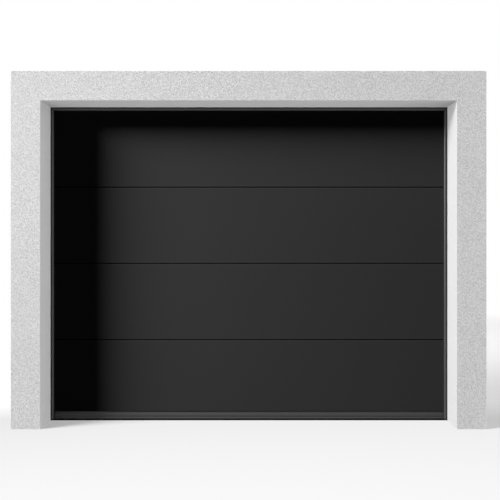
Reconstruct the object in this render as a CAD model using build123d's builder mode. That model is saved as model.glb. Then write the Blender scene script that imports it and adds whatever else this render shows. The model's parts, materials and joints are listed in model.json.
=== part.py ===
from build123d import *
from math import asin, cos
import os

os.makedirs("parts", exist_ok=True)

# Sizes are in millimetres. X runs to the right as seen from the street, Y into the garage and Z up.
# The origin is on the floor, under the middle of the closed leaf.

# Small round parts are drawn as prisms with these numbers of sides.
bar_sides = 12
ring_sides = 24
cable_sides = 6

# Wall round the opening
opening_width = 2700
opening_height = 2130
wall_thickness = 240
pier_width = 190
lintel_height = 190

# Leaf: insulated panels that stand on one another behind the opening
section_count = 4
bottom_section_height = 548  # floor to the first seam
panel_thickness = 42
panel_setback = 20  # inner face of the wall to the front of the leaf
side_overlap = 10  # leaf past the opening on each side
top_overlap = 8
panel_edge_radius = 1.2
seam_gap = 4
seam_depth = 9  # front of the leaf to the tongue
bearing_ledge = 12  # flat behind the tongue, on which the next panel stands
tongue_height = 9
tongue_taper = 3
tongue_clearance = 1
bead_height = 20  # shallow beads along the back of each panel
bead_depth = 1.5
bead_inset = 110  # edge of the panel to the middle of a bead

# Bottom rail: a hollow extrusion with two ribs and a groove between them on its front
rail_height = 48
rail_wall = 2
rail_shadow_gap = 4  # rebate in the panel above the rail
rail_toe = 1.5
lower_rib_height = 11.5
lower_rib_lean = 2  # the lower rib's top stands back from its foot
upper_rib_height = 14
rib_slope = 2
groove_height = 2
groove_depth = 4
shoulder_depth = 7

# Rubber seal under the rail, with a solid nose that fills the step between leaf and wall
seal_height = 7
seal_inset = 3
seal_wall = 2
seal_nose_setback = 3  # inner face of the wall to the nose
seal_nose_radius = 2
seal_clearance = 1  # nose to the frame at its ends and to the strips above it

# Frame behind the wall and the strips that seal on the leaf
frame_show = 7  # frame seen inside the edge of the opening
frame_sheet = 2.5
frame_lip = 12
frame_rise = 70  # frame above the opening
strip_width = 14
strip_nose_radius = 5
strip_tongue = 10

# End caps on the panels
cap_sheet = 1.5
cap_return = 60  # cap on the back of the panel

# Rollers
roller_standoff = 23  # back of the leaf to the middle of the rollers
roller_radius = 23
roller_width = 18
roller_gap = 22  # end of the leaf to the wheel
stem_radius = 5.5
stem_clearance = 0.2
stem_end = 2  # stem past the wheel
bottom_roller_height = 92
top_roller_drop = 80  # top of the leaf to the top roller

# Track: a channel with its corners turned in two bends, open towards the leaf
track_sheet = 2
track_clearance = 1  # wheel to track, all round
track_web_clearance = 10  # wheel to the web of the track
track_lip = 7
track_corner = 5
bend_radius = 300
track_rise = 60  # middle of the level track above the opening
track_overrun = 520  # level track past the length of the open leaf
floor_gap = 5  # foot of the track above the floor

# Hinges, brackets and the sleeves that hold the roller stems
hinge_width = 64
hinge_leaf = 52
hinge_plate = 2.5
hinge_corner = 8
barrel_radius = 7
pin_radius = 3
pin_end = 4
centre_hinge_offset = 450
sleeve_radius = 9
sleeve_length = 58
ear_sheet = 3
ear_height = 30
inner_ear_inset = 12
leaf_split = 4  # gap between the two leaves of an end hinge
top_plate_height = 96
bottom_plate_height = 84

# Stud on the bottom bracket and the lift cable that is hooked to it
stud_height = 118
stud_radius = 5
stud_head_radius = 8
stud_head = 2
stud_margin = 12
cable_radius = 1.5
cable_gap = 7  # bracket's side to the cable
cable_clearance = 0.2
ferrule_radius = 3.5
ferrule_length = 18

# Shaft, springs and cable drums above the opening
shaft_rise = 125  # middle of the shaft above the opening
shaft_setback = 90  # inner face of the wall to the middle of the shaft
shaft_radius = 12.7
shaft_wall = 2.2
shaft_end_reach = 24  # shaft past its end bearing
bore_clearance = 0.3
drum_barrel_radius = 48
drum_flange_radius = 56
drum_flange = 6
drum_width = 44
drum_first_turn = 12  # outer face of the drum to the cable
drum_gap = 4  # drum to end bearing
spring_radius = 28
spring_wire = 6
spring_length = 620
cone_collar_radius = 32
cone_collar = 38
cone_neck = 24  # cone inside the coil
bearing_sheet = 4
bearing_height = 96
bearing_corner = 20
bearing_foot = 36
boss_radius = 24
boss_length = 10

# Gussets at the bends, stiffening angles, hangers and rear rail
gusset_width = 46
gusset_foot = 90
gusset_run = 60
stiffener_leg = 30
stiffener_height = 50
stiffener_sheet = 3
hanger_width = 30
hanger_sheet = 3
hanger_foot = 60
hanger_hole_radius = 4.5
front_hanger_run = 300  # end of the gusset to the front hanger
rear_hanger_run = 120  # rear end of the track to the rear hanger
ceiling_rise = 190  # ceiling above the opening
rear_rail_depth = 30
rear_rail_height = 50
rear_rail_sheet = 2

# Leaf, wall and frame worked out from the sizes above
leaf_front = -panel_thickness / 2
leaf_back = panel_thickness / 2
wall_back = leaf_front - panel_setback
wall_front = wall_back - wall_thickness
half_opening = opening_width / 2
wall_half_width = half_opening + pier_width
frame_inner = half_opening - frame_show
frame_soffit = opening_height - frame_show
frame_top = opening_height + frame_rise
strip_soffit = frame_soffit - strip_width
strip_bottom = seal_height + seal_clearance
leaf_half_width = half_opening + side_overlap
leaf_top = opening_height + top_overlap
leaf_end = leaf_half_width + cap_sheet
cap_back = leaf_back + cap_sheet
rail_top = seal_height + rail_height
section_pitch = (strip_soffit - bottom_section_height) / (section_count - 1)
seams = [bottom_section_height + number * section_pitch for number in range(section_count - 1)]
panel_bottoms = [rail_top] + seams
panel_tops = seams + [leaf_top]

# Rollers and track
roller_line = leaf_back + roller_standoff
wheel_inner = leaf_end + roller_gap
wheel_outer = wheel_inner + roller_width
web_inner = wheel_outer + track_web_clearance
web_outer = web_inner + track_sheet
half_gap = roller_radius + track_clearance
lip_inner = wheel_inner - track_clearance - track_sheet
frame_outer = web_outer + frame_sheet
frame_back = roller_line + half_gap + track_sheet
track_level = opening_height + track_rise
bend_centre_y = roller_line + bend_radius
bend_centre_z = track_level - bend_radius
track_end = opening_height + track_overrun
top_roller_z = leaf_top - top_roller_drop
top_roller_y = bend_centre_y - bend_radius * cos(asin((top_roller_z - bend_centre_z) / bend_radius))
roller_places = [(roller_line, bottom_roller_height)]
roller_places += [(roller_line, seam) for seam in seams]
roller_places += [(top_roller_y, top_roller_z)]
sleeve_outer = leaf_end - ear_sheet
sleeve_inner = sleeve_outer - sleeve_length
plate_back = cap_back + hinge_plate

# Shaft and cable
bore_radius = shaft_radius + bore_clearance
shaft_y = wall_back + shaft_setback
shaft_z = opening_height + shaft_rise
cable_x = leaf_end + hinge_plate + cable_gap
cable_y = shaft_y - drum_barrel_radius - cable_radius - cable_clearance
drum_outer = cable_x + drum_first_turn
drum_inner = drum_outer - drum_width
end_bearing_x = drum_outer + drum_gap
shaft_end = end_bearing_x + bearing_sheet + boss_length + shaft_end_reach
ceiling = opening_height + ceiling_rise
stiffener_start = bend_centre_y + gusset_run
stiffener_top = track_level + stiffener_height


# The track's section about the line of its rollers. On the given plane X is outwards and Y points
# to the centre of the bend.
def track_section(plane):
    flange = half_gap + track_sheet / 2
    lip = lip_inner + track_sheet / 2
    web = web_inner + track_sheet / 2
    half = [(lip, flange - track_lip), (lip, flange), (web - track_corner, flange)]
    half += [(web, flange - track_corner)]
    with BuildSketch(plane) as section:
        with BuildLine():
            Polyline(*half, *[(x, -y) for x, y in reversed(half)])
        trace(line_width=track_sheet)
    return section.sketch


# One panel seen from its end. Its upper edge carries a tapered tongue, its lower edge the groove
# that takes the tongue below, and the panels bear on one another along the ledge behind it.
def panel_section(bottom, top, is_bottom, is_top):
    half_seam = seam_gap / 2
    tongue_front = leaf_front + seam_depth
    tongue_back = leaf_back - bearing_ledge
    groove_front = tongue_front - tongue_clearance
    groove_back = tongue_back + tongue_clearance
    groove_roof = bottom + tongue_height + tongue_clearance
    if is_bottom:
        lower_edge = [
            (leaf_front, bottom + rail_shadow_gap),
            (leaf_front + rail_shadow_gap, bottom + rail_shadow_gap),
            (leaf_front + rail_shadow_gap, bottom),
        ]
    else:
        lower_edge = [
            (leaf_front, bottom + half_seam),
            (groove_front, bottom + half_seam),
            (groove_front + tongue_taper, groove_roof),
            (groove_back - tongue_taper, groove_roof),
            (groove_back, bottom),
        ]
    if is_top:
        upper_edge = [(leaf_front, top)]
    else:
        upper_edge = [
            (tongue_back, top),
            (tongue_back - tongue_taper, top + tongue_height),
            (tongue_front + tongue_taper, top + tongue_height),
            (tongue_front, top - half_seam),
            (leaf_front, top - half_seam),
        ]
    back = [(leaf_back, bottom)]
    for middle in (bottom + bead_inset, top - bead_inset):
        back += [
            (leaf_back, middle - bead_height / 2),
            (leaf_back - bead_depth, middle - bead_height / 2 + bead_depth),
            (leaf_back - bead_depth, middle + bead_height / 2 - bead_depth),
            (leaf_back, middle + bead_height / 2),
        ]
    back += [(leaf_back, top)]
    with BuildSketch(Plane.YZ) as section:
        Polygon(*lower_edge, *back, *upper_edge, align=None)
        fillet(section.vertices().group_by(Axis.X)[0], panel_edge_radius)
    return section.sketch


# A sealing strip seen from its end, with its origin at the frame's edge, X towards the frame and Y
# into the garage: a round nose to the street, a lip that lies on the leaf, and a tongue held behind
# the frame.
def strip_section(plane):
    outline = [
        (-strip_width, 0),
        (-strip_width, panel_setback),
        (-strip_width / 2, panel_setback),
        (0, 2 * frame_sheet),
        (strip_tongue, 2 * frame_sheet),
        (strip_tongue, frame_sheet),
        (0, frame_sheet),
        (0, 0),
    ]
    with BuildSketch(plane) as section:
        Polygon(*outline, align=None)
        fillet(section.vertices().sort_by_distance((-strip_width, 0))[0], strip_nose_radius)
    return section.sketch


# An ear of a roller carrier: the plate's edge between two heights, drawn in to the sleeve.
def ear(x, low, high, sleeve_y, sleeve_z):
    with BuildSketch(Plane.YZ.offset(x)) as side:
        with Locations((cap_back + hinge_plate / 2, (low + high) / 2)):
            Rectangle(hinge_plate, high - low)
        with Locations((sleeve_y, sleeve_z)):
            RegularPolygon(sleeve_radius, bar_sides)
        make_hull()
    return side.sketch


# Plates on the leaf's end caps, ears and the sleeve between them, bored for a roller stem. The
# plates are given by their lower and upper edges, and the ears by their place and plate.
def roller_carrier(plates, ears, sleeve_y, sleeve_z):
    with BuildPart() as carrier:
        for low, high in plates:
            with BuildSketch(Plane.YZ.offset(sleeve_inner)):
                with Locations((cap_back + hinge_plate / 2, (low + high) / 2)):
                    Rectangle(hinge_plate, high - low)
            extrude(amount=sleeve_length)
        for ear_x, low, high in ears:
            extrude(ear(ear_x, low, high, sleeve_y, sleeve_z), amount=ear_sheet)
        with BuildSketch(Plane.YZ.offset(sleeve_inner)):
            with Locations((sleeve_y, sleeve_z)):
                RegularPolygon(sleeve_radius, bar_sides)
        extrude(amount=sleeve_length)
        with BuildSketch(Plane.YZ.offset(sleeve_inner)):
            with Locations((sleeve_y, sleeve_z)):
                RegularPolygon(stem_radius + stem_clearance, bar_sides)
        extrude(amount=sleeve_length, mode=Mode.SUBTRACT)
    return carrier.part


# A plate that stands out from the wall on its own foot and carries the shaft in a round boss. The
# boss runs between the two given places.
def bearing(plate_x, boss_start, boss_end):
    reach = shaft_setback + boss_radius
    with BuildPart() as stand:
        with BuildSketch(Plane.YZ.offset(plate_x)) as plate:
            with Locations((wall_back + reach / 2, shaft_z)):
                Rectangle(reach, bearing_height)
            chamfer(plate.vertices().group_by(Axis.X)[-1], bearing_corner)
        extrude(amount=bearing_sheet)
        with BuildSketch(Plane.XZ.offset(-wall_back)):
            with Locations((plate_x + bearing_sheet / 2, shaft_z)):
                Rectangle(bearing_foot, bearing_height)
        extrude(amount=-bearing_sheet)
        with BuildSketch(Plane.YZ.offset(boss_start)):
            with Locations((shaft_y, shaft_z)):
                RegularPolygon(boss_radius, ring_sides)
        extrude(amount=boss_end - boss_start)
        with BuildSketch(Plane.YZ.offset(boss_start)):
            with Locations((shaft_y, shaft_z)):
                RegularPolygon(bore_radius, ring_sides, major_radius=False)
        extrude(amount=boss_end - boss_start, mode=Mode.SUBTRACT)
    return stand.part


# The masonry: two piers and the lintel that lies on them
with BuildPart() as pier_right:
    with BuildSketch(Plane.XY):
        with Locations((half_opening + pier_width / 2, (wall_front + wall_back) / 2)):
            Rectangle(pier_width, wall_thickness)
    extrude(amount=opening_height)

with BuildPart() as pier_left:
    mirror(pier_right.part, about=Plane.YZ)

with BuildPart() as lintel:
    with BuildSketch(Plane.XY.offset(opening_height)):
        with Locations((0, (wall_front + wall_back) / 2)):
            Rectangle(2 * wall_half_width, wall_thickness)
    extrude(amount=lintel_height)

# Each side of the frame is one folded sheet: a flange on the wall that shows a little inside the
# opening, a web that the track is fixed to, and a stiffening lip.
with BuildPart() as frame_right:
    with BuildSketch(Plane.XY):
        Polygon(
            (frame_inner, wall_back),
            (frame_outer, wall_back),
            (frame_outer, frame_back - frame_sheet),
            (frame_outer + frame_lip, frame_back - frame_sheet),
            (frame_outer + frame_lip, frame_back),
            (web_outer, frame_back),
            (web_outer, wall_back + frame_sheet),
            (frame_inner, wall_back + frame_sheet),
            align=None,
        )
    extrude(amount=frame_top)

with BuildPart() as frame_left:
    mirror(frame_right.part, about=Plane.YZ)

with BuildPart() as frame_head:
    with BuildSketch(Plane.YZ):
        Polygon(
            (wall_back, frame_soffit),
            (wall_back + frame_sheet, frame_soffit),
            (wall_back + frame_sheet, frame_top - frame_sheet),
            (wall_back + frame_lip, frame_top - frame_sheet),
            (wall_back + frame_lip, frame_top),
            (wall_back, frame_top),
            align=None,
        )
    extrude(amount=frame_inner, both=True)

with BuildPart() as strip_right:
    strip_foot = Plane(origin=(frame_inner, wall_back, strip_bottom))
    extrude(strip_section(strip_foot), amount=strip_soffit - strip_bottom)

with BuildPart() as strip_left:
    mirror(strip_right.part, about=Plane.YZ)

with BuildPart() as strip_head:
    head_end = Plane(origin=(frame_inner, wall_back, frame_soffit), x_dir=(0, 0, 1), z_dir=(-1, 0, 0))
    extrude(strip_section(head_end), amount=2 * frame_inner)

# The panels, from the lowest up
sections = []
for number in range(section_count):
    is_bottom = number == 0
    is_top = number == section_count - 1
    with BuildPart() as section:
        profile = panel_section(panel_bottoms[number], panel_tops[number], is_bottom, is_top)
        extrude(profile, amount=leaf_half_width, both=True)
    sections.append(section)

# End caps fold round the end of each panel and on to its back.
with BuildPart() as end_caps:
    for bottom, top in zip(panel_bottoms, panel_tops):
        with BuildSketch(Plane.XY.offset(bottom + seam_gap)):
            Polygon(
                (leaf_half_width, leaf_front + panel_edge_radius),
                (leaf_end, leaf_front + panel_edge_radius),
                (leaf_end, cap_back),
                (leaf_half_width - cap_return, cap_back),
                (leaf_half_width - cap_return, leaf_back),
                (leaf_half_width, leaf_back),
                align=None,
            )
        extrude(amount=top - bottom - 2 * seam_gap)
    mirror(about=Plane.YZ)

with BuildPart() as bottom_rail:
    lower_rib_top = seal_height + rail_toe + lower_rib_height
    upper_rib_bottom = lower_rib_top + 2 * rib_slope + groove_height
    upper_rib_top = upper_rib_bottom + upper_rib_height
    with BuildSketch(Plane.YZ) as rail_profile:
        Polygon(
            (leaf_front + rail_toe, seal_height),
            (leaf_front, seal_height + rail_toe),
            (leaf_front + lower_rib_lean, lower_rib_top),
            (leaf_front + groove_depth, lower_rib_top + rib_slope),
            (leaf_front + groove_depth, upper_rib_bottom - rib_slope),
            (leaf_front, upper_rib_bottom),
            (leaf_front, upper_rib_top),
            (leaf_front + shoulder_depth, upper_rib_top + shoulder_depth),
            (leaf_front + shoulder_depth, rail_top),
            (leaf_back, rail_top),
            (leaf_back, seal_height),
            align=None,
        )
        fillet(rail_profile.vertices().group_by(Axis.X)[0], rib_slope / 2)
        chamber_front = leaf_front + shoulder_depth + rail_wall
        chamber_back = leaf_back - rail_wall
        with Locations(((chamber_front + chamber_back) / 2, seal_height + rail_height / 2)):
            Rectangle(chamber_back - chamber_front, rail_height - 2 * rail_wall, mode=Mode.SUBTRACT)
    extrude(amount=leaf_half_width, both=True)

# The floor seal is a hollow rubber section, a little narrower than the rail that holds it. Its
# nose runs between the two sides of the frame.
with BuildPart() as bottom_seal:
    seal_half = panel_thickness / 2 - seal_inset
    nose_front = wall_back + seal_nose_setback
    with BuildSketch(Plane.YZ) as seal_profile:
        with Locations((0, seal_height / 2)):
            Rectangle(2 * seal_half, seal_height)
        fillet(seal_profile.vertices().sort_by_distance((seal_half, 0))[0], seal_inset)
        with Locations((0, seal_height / 2)):
            Rectangle(2 * (seal_half - seal_wall), seal_height - 2 * seal_wall, mode=Mode.SUBTRACT)
    extrude(amount=leaf_half_width, both=True)
    with BuildSketch(Plane.YZ) as nose_profile:
        with Locations(((nose_front - seal_half) / 2, seal_height / 2)):
            Rectangle(-seal_half - nose_front, seal_height)
        fillet(nose_profile.vertices().sort_by_distance((nose_front, seal_height))[0], seal_nose_radius)
    extrude(amount=frame_inner - seal_clearance, both=True)

# Centre hinges: two leaves with cut corners, a rolled barrel and the pin that shows at its ends
with BuildPart() as centre_hinges:
    for seam in seams:
        for middle_x in (-centre_hinge_offset, centre_hinge_offset):
            with BuildSketch(Plane.XZ.offset(-leaf_back)) as leaves:
                with Locations((middle_x, seam)):
                    Rectangle(hinge_width, 2 * hinge_leaf)
                chamfer(leaves.vertices(), hinge_corner)
            extrude(amount=-hinge_plate)
            barrel_place = (leaf_back + barrel_radius, seam)
            for radius, length in ((barrel_radius, hinge_width), (pin_radius, hinge_width + 2 * pin_end)):
                with BuildSketch(Plane.YZ.offset(middle_x)):
                    with Locations(barrel_place):
                        RegularPolygon(radius, bar_sides)
                extrude(amount=length / 2, both=True)

# End hinges: the lower leaf has the outer pair of ears, the upper leaf the inner pair, and both turn
# on the sleeve that holds the roller stem.
with BuildPart() as end_hinges:
    for seam in seams:
        low = seam - leaf_split / 2
        high = seam + leaf_split / 2
        outer_ears = [(x, low - ear_height, low) for x in (sleeve_inner, sleeve_outer - ear_sheet)]
        inner_places = (sleeve_inner + inner_ear_inset, sleeve_outer - inner_ear_inset - ear_sheet)
        inner_ears = [(x, high, high + ear_height) for x in inner_places]
        plates = [(seam - hinge_leaf, low), (high, seam + hinge_leaf)]
        add(roller_carrier(plates, outer_ears + inner_ears, roller_line, seam))
    mirror(about=Plane.YZ)

# Bottom brackets: each holds the lowest roller, folds round the panel's end, and has there the
# headed stud that the lift cable is hooked to.
with BuildPart() as bottom_brackets:
    plate_low = bottom_roller_height - bottom_plate_height / 2
    plate_high = bottom_roller_height + bottom_plate_height / 2
    ear_low = bottom_roller_height - ear_height / 2
    ear_high = bottom_roller_height + ear_height / 2
    bracket_ears = [(x, ear_low, ear_high) for x in (sleeve_inner, sleeve_outer - ear_sheet)]
    add(roller_carrier([(plate_low, plate_high)], bracket_ears, roller_line, bottom_roller_height))
    with BuildSketch(Plane.YZ.offset(sleeve_outer)):
        with Locations((cap_back + hinge_plate / 2, bottom_roller_height)):
            Rectangle(hinge_plate, bottom_plate_height)
    extrude(amount=leaf_end - sleeve_outer)
    with BuildSketch(Plane.YZ.offset(leaf_end)):
        Polygon(
            (plate_back, plate_low),
            (plate_back, plate_high),
            (cable_y + stud_margin, stud_height + stud_margin),
            (cable_y - stud_margin, stud_height + stud_margin),
            (cable_y - stud_margin, stud_height - stud_margin),
            align=None,
        )
    extrude(amount=hinge_plate)
    stud_end = cable_x + cable_radius + cable_clearance
    for radius, start, length in (
        (stud_radius, leaf_end + hinge_plate, stud_end - leaf_end - hinge_plate),
        (stud_head_radius, stud_end, stud_head),
    ):
        with BuildSketch(Plane.YZ.offset(start)):
            with Locations((cable_y, stud_height)):
                RegularPolygon(radius, bar_sides)
        extrude(amount=length)
    mirror(about=Plane.YZ)

# Top brackets reach back to the roller that already stands in the bend.
with BuildPart() as top_brackets:
    plate_low = top_roller_z - top_plate_height / 2
    plate_high = min(top_roller_z + top_plate_height / 2, leaf_top)
    bracket_ears = [(x, plate_low, plate_high) for x in (sleeve_inner, sleeve_outer - ear_sheet)]
    add(roller_carrier([(plate_low, plate_high)], bracket_ears, top_roller_y, top_roller_z))
    mirror(about=Plane.YZ)

with BuildPart() as roller_stems:
    with BuildSketch(Plane.YZ.offset(sleeve_inner)):
        with Locations(*roller_places):
            RegularPolygon(stem_radius, bar_sides)
    extrude(amount=wheel_outer + stem_end - sleeve_inner)
    mirror(about=Plane.YZ)

with BuildPart() as roller_wheels:
    with BuildSketch(Plane.YZ.offset(wheel_inner)):
        with Locations(*roller_places):
            RegularPolygon(roller_radius, ring_sides)
            RegularPolygon(stem_radius + stem_clearance, bar_sides, mode=Mode.SUBTRACT)
    extrude(amount=roller_width)
    mirror(about=Plane.YZ)

# The track of each side: upright, a quarter bend, and level under the ceiling
with BuildPart() as upright_track_right:
    foot_plane = Plane(origin=(0, roller_line, floor_gap))
    extrude(track_section(foot_plane), amount=bend_centre_z - floor_gap)

with BuildPart() as bent_track_right:
    bend_plane = Plane(origin=(0, roller_line, bend_centre_z))
    bend_axis = Axis((0, bend_centre_y, bend_centre_z), (-1, 0, 0))
    revolve(track_section(bend_plane), axis=bend_axis, revolution_arc=90)

with BuildPart() as level_track_right:
    level_plane = Plane(origin=(0, bend_centre_y, track_level), x_dir=(1, 0, 0), z_dir=(0, 1, 0))
    extrude(track_section(level_plane), amount=track_end - bend_centre_y)

with BuildPart() as upright_track_left:
    mirror(upright_track_right.part, about=Plane.YZ)

with BuildPart() as bent_track_left:
    mirror(bent_track_right.part, about=Plane.YZ)

with BuildPart() as level_track_left:
    mirror(level_track_right.part, about=Plane.YZ)

# Gussets: plates outside the bends that follow them and join frame, bend and level track.
with BuildPart() as gussets:
    foot_z = bend_centre_z - gusset_foot
    inner_y = roller_line + gusset_width
    inner_z = track_level - gusset_width
    with BuildSketch(Plane.YZ.offset(web_outer)):
        with BuildLine():
            Polyline((inner_y, bend_centre_z), (inner_y, foot_z), (frame_back, foot_z))
            Polyline((frame_back, foot_z), (frame_back, stiffener_top), (stiffener_start, stiffener_top))
            Polyline((stiffener_start, stiffener_top), (stiffener_start, inner_z), (bend_centre_y, inner_z))
            RadiusArc((bend_centre_y, inner_z), (inner_y, bend_centre_z), gusset_width - bend_radius)
        make_face()
    extrude(amount=frame_sheet)
    mirror(about=Plane.YZ)

# Stiffening angles along the level tracks: one leg up against the track's web, one leg outwards.
with BuildPart() as stiffeners:
    with BuildSketch(Plane.XZ.offset(-stiffener_start)):
        Polygon(
            (web_outer, track_level),
            (web_outer, stiffener_top),
            (web_outer + stiffener_sheet, stiffener_top),
            (web_outer + stiffener_sheet, track_level + stiffener_sheet),
            (web_outer + stiffener_leg, track_level + stiffener_sheet),
            (web_outer + stiffener_leg, track_level),
            align=None,
        )
    extrude(amount=stiffener_start - track_end)
    mirror(about=Plane.YZ)

# Hangers: straps that stand on the stiffening angles, each with a foot bolted to the ceiling.
with BuildPart() as hangers:
    strap_inner = web_outer + stiffener_sheet
    strap_outer = strap_inner + hanger_sheet
    strap_foot = track_level + stiffener_sheet
    foot_end = strap_inner + hanger_foot
    for hanger_y in (stiffener_start + front_hanger_run, track_end - rear_hanger_run):
        with BuildSketch(Plane.XZ.offset(-hanger_y)):
            Polygon(
                (strap_inner, strap_foot),
                (strap_inner, ceiling),
                (foot_end, ceiling),
                (foot_end, ceiling - hanger_sheet),
                (strap_outer, ceiling - hanger_sheet),
                (strap_outer, strap_foot),
                align=None,
            )
        extrude(amount=hanger_width / 2, both=True)
        with Locations(((strap_outer + foot_end) / 2, hanger_y, ceiling)):
            Hole(hanger_hole_radius, depth=hanger_sheet)
    mirror(about=Plane.YZ)

# The rear rail is a channel that ties the ends of the two level tracks together.
with BuildPart() as rear_rail:
    rail_low = track_level - rear_rail_height / 2
    rail_high = track_level + rear_rail_height / 2
    rail_back = track_end + rear_rail_depth
    with BuildSketch(Plane.YZ):
        Polygon(
            (track_end, rail_low),
            (rail_back, rail_low),
            (rail_back, rail_low + rear_rail_sheet),
            (track_end + rear_rail_sheet, rail_low + rear_rail_sheet),
            (track_end + rear_rail_sheet, rail_high - rear_rail_sheet),
            (rail_back, rail_high - rear_rail_sheet),
            (rail_back, rail_high),
            (track_end, rail_high),
            align=None,
        )
    extrude(amount=web_outer, both=True)

with BuildPart() as torsion_shaft:
    with BuildSketch(Plane.YZ):
        with Locations((shaft_y, shaft_z)):
            Circle(shaft_radius)
            Circle(shaft_radius - shaft_wall, mode=Mode.SUBTRACT)
    extrude(amount=shaft_end, both=True)

with BuildPart() as end_bearings:
    boss_start = end_bearing_x
    add(bearing(end_bearing_x, boss_start, boss_start + bearing_sheet + boss_length))
    mirror(about=Plane.YZ)

with BuildPart() as centre_bearing:
    half_boss = bearing_sheet / 2 + boss_length
    add(bearing(-bearing_sheet / 2, -half_boss, half_boss))

# The springs stand on both sides of the centre bearing. Each is a coil between a fixed cone at the
# bearing and a winding cone that is clamped to the shaft.
spring_start = half_boss + cone_collar
spring_end = spring_start + spring_length
with BuildPart() as springs:
    with BuildSketch(Plane.YZ.offset(spring_start)):
        with Locations((shaft_y, shaft_z)):
            RegularPolygon(spring_radius, ring_sides)
            RegularPolygon(spring_radius - spring_wire, ring_sides, mode=Mode.SUBTRACT)
    extrude(amount=spring_length)
    mirror(about=Plane.YZ)

# Each cone has a neck inside the coil and a collar outside it.
with BuildPart() as spring_cones:
    neck_radius = spring_radius - spring_wire - bore_clearance
    for coil_end, outward in ((spring_start, -1), (spring_end, 1)):
        for radius, length in (
            (cone_collar_radius, outward * cone_collar),
            (neck_radius, -outward * cone_neck),
        ):
            with BuildSketch(Plane.YZ.offset(coil_end)):
                with Locations((shaft_y, shaft_z)):
                    RegularPolygon(radius, ring_sides)
                    RegularPolygon(bore_radius, ring_sides, major_radius=False, mode=Mode.SUBTRACT)
            extrude(amount=length)
    mirror(about=Plane.YZ)

with BuildPart() as cable_drums:
    bore = shaft_y + bore_radius
    barrel = shaft_y + drum_barrel_radius
    rim = shaft_y + drum_flange_radius
    with BuildSketch(Plane.XY.offset(shaft_z)):
        Polygon(
            (drum_inner, bore),
            (drum_inner, rim),
            (drum_inner + drum_flange, barrel),
            (drum_outer - drum_flange, barrel),
            (drum_outer, rim),
            (drum_outer, bore),
            align=None,
        )
    revolve(axis=Axis((0, shaft_y, shaft_z), (1, 0, 0)))
    mirror(about=Plane.YZ)

# Lift cables: an eye round the stud, a pressed ferrule, the straight run up to the drum, and half a
# turn round it.
with BuildPart() as lift_cables:
    eye_inner = stud_radius + cable_clearance
    eye_radius = eye_inner + cable_radius
    with BuildSketch(Plane.YZ.offset(cable_x)):
        with Locations((cable_y, stud_height)):
            RegularPolygon(eye_radius + cable_radius, bar_sides)
            RegularPolygon(eye_inner, bar_sides, mode=Mode.SUBTRACT)
    extrude(amount=cable_radius, both=True)
    run_start = Plane(origin=(cable_x, cable_y, stud_height + eye_radius))
    for radius, lift, length in (
        (cable_radius, 0, shaft_z - stud_height - eye_radius),
        (ferrule_radius, cable_radius, ferrule_length),
    ):
        with BuildSketch(run_start.offset(lift)):
            RegularPolygon(radius, cable_sides)
        extrude(amount=length)
    with BuildSketch(Plane(origin=(cable_x, cable_y, shaft_z))):
        RegularPolygon(cable_radius, cable_sides)
    revolve(axis=Axis((0, shaft_y, shaft_z), (-1, 0, 0)), revolution_arc=180)
    mirror(about=Plane.YZ)

pieces = {
    "pier_left": pier_left,
    "pier_right": pier_right,
    "lintel": lintel,
    "frame_left": frame_left,
    "frame_right": frame_right,
    "frame_head": frame_head,
    "strip_left": strip_left,
    "strip_right": strip_right,
    "strip_head": strip_head,
    "end_caps": end_caps,
    "bottom_rail": bottom_rail,
    "bottom_seal": bottom_seal,
    "centre_hinges": centre_hinges,
    "end_hinges": end_hinges,
    "bottom_brackets": bottom_brackets,
    "top_brackets": top_brackets,
    "roller_stems": roller_stems,
    "roller_wheels": roller_wheels,
    "upright_track_left": upright_track_left,
    "upright_track_right": upright_track_right,
    "bent_track_left": bent_track_left,
    "bent_track_right": bent_track_right,
    "level_track_left": level_track_left,
    "level_track_right": level_track_right,
    "gussets": gussets,
    "stiffeners": stiffeners,
    "hangers": hangers,
    "rear_rail": rear_rail,
    "torsion_shaft": torsion_shaft,
    "end_bearings": end_bearings,
    "centre_bearing": centre_bearing,
    "springs": springs,
    "spring_cones": spring_cones,
    "cable_drums": cable_drums,
    "lift_cables": lift_cables,
}
for number, section in enumerate(sections, start=1):
    pieces[f"section_{number}"] = section

for piece_name, piece in pieces.items():
    piece.part.label = piece_name
    export_step(piece.part, f"parts/{piece_name}.step")
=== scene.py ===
import json
import math

import bpy
import bmesh
import numpy as np
from mathutils import Matrix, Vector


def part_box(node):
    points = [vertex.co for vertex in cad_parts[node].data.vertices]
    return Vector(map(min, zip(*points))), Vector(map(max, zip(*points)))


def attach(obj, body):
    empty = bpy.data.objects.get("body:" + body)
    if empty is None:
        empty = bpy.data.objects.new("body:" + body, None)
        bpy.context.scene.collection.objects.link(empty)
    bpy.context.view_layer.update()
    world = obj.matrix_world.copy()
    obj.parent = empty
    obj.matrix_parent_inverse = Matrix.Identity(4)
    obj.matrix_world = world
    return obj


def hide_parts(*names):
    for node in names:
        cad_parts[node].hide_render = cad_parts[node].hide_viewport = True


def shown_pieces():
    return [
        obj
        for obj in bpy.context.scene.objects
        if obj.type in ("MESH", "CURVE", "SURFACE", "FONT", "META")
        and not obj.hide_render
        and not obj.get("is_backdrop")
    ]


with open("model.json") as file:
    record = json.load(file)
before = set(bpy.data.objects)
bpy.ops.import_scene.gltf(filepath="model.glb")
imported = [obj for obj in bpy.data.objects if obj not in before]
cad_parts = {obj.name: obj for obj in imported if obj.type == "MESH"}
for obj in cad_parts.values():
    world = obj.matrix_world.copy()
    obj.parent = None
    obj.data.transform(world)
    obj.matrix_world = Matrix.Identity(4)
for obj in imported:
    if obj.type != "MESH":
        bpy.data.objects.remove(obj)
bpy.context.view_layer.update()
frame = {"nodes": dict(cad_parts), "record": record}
nodes = frame["nodes"]
scene = bpy.context.scene
scene.view_settings.view_transform = "Standard"
print("frame loaded:", len(nodes), "nodes")

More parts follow.
